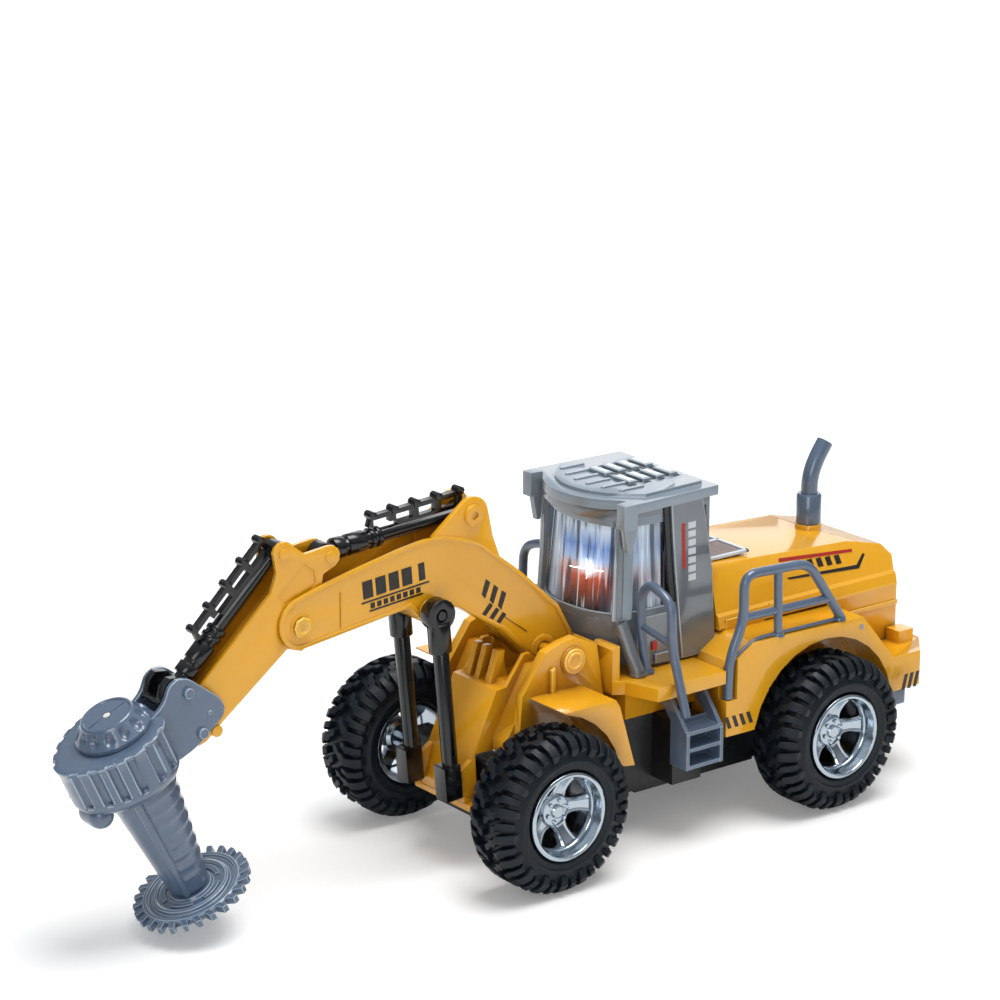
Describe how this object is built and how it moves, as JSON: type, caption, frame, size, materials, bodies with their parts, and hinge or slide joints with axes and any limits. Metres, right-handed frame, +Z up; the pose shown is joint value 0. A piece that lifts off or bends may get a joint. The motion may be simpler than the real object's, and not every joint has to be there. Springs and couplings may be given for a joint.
{
  "type": "toy excavator",
  "caption": "Toy wheeled work truck with a jointed lifting arm, a spinning saw head, a glazed cab, hand rails, chunky tyres and steered front wheels",
  "frame": {"origin": "middle of the bounding box at ground level", "axes": "+X forward along the toy towards the saw head, +Y to the toy's left, +Z up"},
  "size_m": [0.3627, 0.115, 0.139],
  "materials": {
    "yellow": "glossy moulded plastic",
    "slate": "satin moulded plastic",
    "smoke": "smoked moulded plastic",
    "black": "satin moulded plastic",
    "tread": "matt rubber",
    "bright_rim": "vacuum metallised plastic",
    "window": "clear moulded window",
    "white": "satin moulded plastic",
    "steel": "turned steel",
    "motor_case": "plain metal can",
    "cell_sleeve": "printed metal sleeve",
    "circuit": "coated board"
  },
  "bodies": {
    "chassis": {"chassis_tub": "black", "battery_cover": "black", "battery_pack": "cell_sleeve", "circuit_board": "circuit", "drive_motor": "motor_case", "front_axle_beam": "black", "steering_motor": "motor_case", "rear_body": "yellow", "engine_hood": "yellow", "hood_vent": "black", "exhaust_stack": "slate", "rear_light_bar": "slate", "cab_frame": "smoke", "cab_glass": "window", "cab_roof": "slate", "cab_lamp_stand": "white", "step_left": "slate", "step_right": "slate", "grab_rail_left": "slate", "grab_rail_right": "slate", "fender_rail_left": "slate", "fender_rail_right": "slate", "front_frame": "yellow", "boom_pivot_pin": "yellow"},
    "switch": {"power_switch": "white"},
    "rear_axle": {"rear_axle_shaft": "steel", "axle_gear": "white", "tyre_rear_left": "tread", "rim_rear_left": "bright_rim", "tyre_rear_right": "tread", "rim_rear_right": "bright_rim"},
    "reduction": {"reduction_gear": "white"},
    "motor_shaft": {"motor_pinion": "steel"},
    "knuckle_left": {"steering_knuckle_left": "black"},
    "knuckle_right": {"steering_knuckle_right": "black"},
    "front_wheel_left": {"tyre_front_left": "tread", "rim_front_left": "bright_rim"},
    "front_wheel_right": {"tyre_front_right": "tread", "rim_front_right": "bright_rim"},
    "tie_rod": {"tie_rod": "black"},
    "boom": {"boom": "yellow", "elbow_pin": "yellow"},
    "lift_barrel_left": {"lift_cylinder_barrel_left": "black"},
    "lift_barrel_right": {"lift_cylinder_barrel_right": "black"},
    "lift_rod_left": {"lift_cylinder_rod_left": "black"},
    "lift_rod_right": {"lift_cylinder_rod_right": "black"},
    "stick": {"stick": "yellow"},
    "dipper_barrel": {"dipper_cylinder_barrel": "black"},
    "dipper_rod": {"dipper_cylinder_rod": "black"},
    "head": {"tool_housing": "slate", "motor_cap": "slate", "link_block": "black", "spindle_housing": "slate", "saw_motor": "motor_case"},
    "tool_barrel": {"tool_cylinder_barrel": "black"},
    "tool_rod": {"tool_cylinder_rod": "black"},
    "saw": {"saw_disc": "slate", "saw_shaft": "steel"}
  },
  "joints": [
    {"name": "power_switch_slide", "type": "slide", "parent": "chassis", "child": "switch", "axis": [0, 1, 0], "range_m": [0, 0.0046]},
    {"name": "rear_axle_spin", "type": "hinge", "parent": "chassis", "child": "rear_axle", "pos_m": [-0.12236, 0, 0.03], "axis": [0, 1, 0], "continuous": true},
    {"name": "reduction_gear_spin", "type": "hinge", "parent": "chassis", "child": "reduction", "pos_m": [-0.13611, 0, 0.03], "axis": [0, 1, 0], "continuous": true},
    {"name": "motor_shaft_spin", "type": "hinge", "parent": "chassis", "child": "motor_shaft", "pos_m": [-0.14956, 0, 0.03], "axis": [0, 1, 0], "continuous": true},
    {"name": "steer_left", "type": "hinge", "parent": "chassis", "child": "knuckle_left", "pos_m": [0.00934, 0.029, 0.03], "axis": [0, 0, 1], "range_deg": [-10, 10]},
    {"name": "front_wheel_spin_left", "type": "hinge", "parent": "knuckle_left", "child": "front_wheel_left", "pos_m": [0.00934, 0.0459, 0.03], "axis": [0, 1, 0], "continuous": true},
    {"name": "steer_right", "type": "hinge", "parent": "chassis", "child": "knuckle_right", "pos_m": [0.00934, -0.029, 0.03], "axis": [0, 0, 1], "range_deg": [-10, 10]},
    {"name": "front_wheel_spin_right", "type": "hinge", "parent": "knuckle_right", "child": "front_wheel_right", "pos_m": [0.00934, -0.0459, 0.03], "axis": [0, 1, 0], "continuous": true},
    {"name": "tie_rod_slide", "type": "slide", "parent": "chassis", "child": "tie_rod", "axis": [0, 1, 0], "range_m": [-0.0022, 0.0022]},
    {"name": "boom_lift", "type": "hinge", "parent": "chassis", "child": "boom", "pos_m": [-0.01771, 0, 0.0733], "axis": [0, -1, 0], "range_deg": [-2, 22]},
    {"name": "lift_barrel_swing_left", "type": "hinge", "parent": "chassis", "child": "lift_barrel_left", "pos_m": [0.02709, 0.0118, 0.032], "axis": [0, -1, 0], "range_deg": [-1.5, 10.5]},
    {"name": "lift_rod_slide_left", "type": "slide", "parent": "lift_barrel_left", "child": "lift_rod_left", "axis": [0.0893, 0, 0.996], "range_m": [-0.0018, 0.0182]},
    {"name": "lift_barrel_swing_right", "type": "hinge", "parent": "chassis", "child": "lift_barrel_right", "pos_m": [0.02709, -0.0118, 0.032], "axis": [0, -1, 0], "range_deg": [-1.5, 10.5]},
    {"name": "lift_rod_slide_right", "type": "slide", "parent": "lift_barrel_right", "child": "lift_rod_right", "axis": [0.0893, 0, 0.996], "range_m": [-0.0018, 0.0182]},
    {"name": "stick_swing", "type": "hinge", "parent": "boom", "child": "stick", "pos_m": [0.08729, 0, 0.1031], "axis": [0, -1, 0], "range_deg": [-6, 14]},
    {"name": "dipper_barrel_swing", "type": "hinge", "parent": "boom", "child": "dipper_barrel", "pos_m": [0.01349, 0, 0.1294], "axis": [0, -1, 0], "range_deg": [-4.5, 2.2]},
    {"name": "dipper_rod_slide", "type": "slide", "parent": "dipper_barrel", "child": "dipper_rod", "axis": [0.9977, 0, -0.0676], "range_m": [-0.0052, 0.0024]},
    {"name": "head_tilt", "type": "hinge", "parent": "stick", "child": "head", "pos_m": [0.12879, 0, 0.0742], "axis": [0, -1, 0], "range_deg": [-12, 12]},
    {"name": "tool_barrel_swing", "type": "hinge", "parent": "stick", "child": "tool_barrel", "pos_m": [0.09289, 0, 0.1297], "axis": [0, -1, 0], "range_deg": [-2.5, 2]},
    {"name": "tool_rod_slide", "type": "slide", "parent": "tool_barrel", "child": "tool_rod", "axis": [0.7158, 0, -0.6983], "range_m": [-0.0042, 0.0034]},
    {"name": "saw_spin", "type": "hinge", "parent": "head", "child": "saw", "pos_m": [0.12969, 0, 0.0148], "axis": [0.4035, 0, 0.915], "continuous": true}
  ],
  "couplings": [
    {"joint": "reduction_gear_spin", "follows": "rear_axle_spin", "ratio": -2.4},
    {"joint": "motor_shaft_spin", "follows": "rear_axle_spin", "ratio": 6.72},
    {"joint": "steer_right", "follows": "steer_left", "ratio": 1},
    {"joint": "tie_rod_slide", "follows": "steer_left", "m_per_rad": -0.012},
    {"joint": "lift_barrel_swing_left", "follows": "boom_lift", "ratio": 0.449},
    {"joint": "lift_rod_slide_left", "follows": "boom_lift", "m_per_rad": 0.0455},
    {"joint": "lift_barrel_swing_right", "follows": "boom_lift", "ratio": 0.449},
    {"joint": "lift_rod_slide_right", "follows": "boom_lift", "m_per_rad": 0.0455},
    {"joint": "dipper_barrel_swing", "follows": "stick_swing", "ratio": -0.278},
    {"joint": "dipper_rod_slide", "follows": "stick_swing", "m_per_rad": -0.01965},
    {"joint": "tool_barrel_swing", "follows": "head_tilt", "ratio": -0.129},
    {"joint": "tool_rod_slide", "follows": "head_tilt", "m_per_rad": -0.01425}
  ]
}
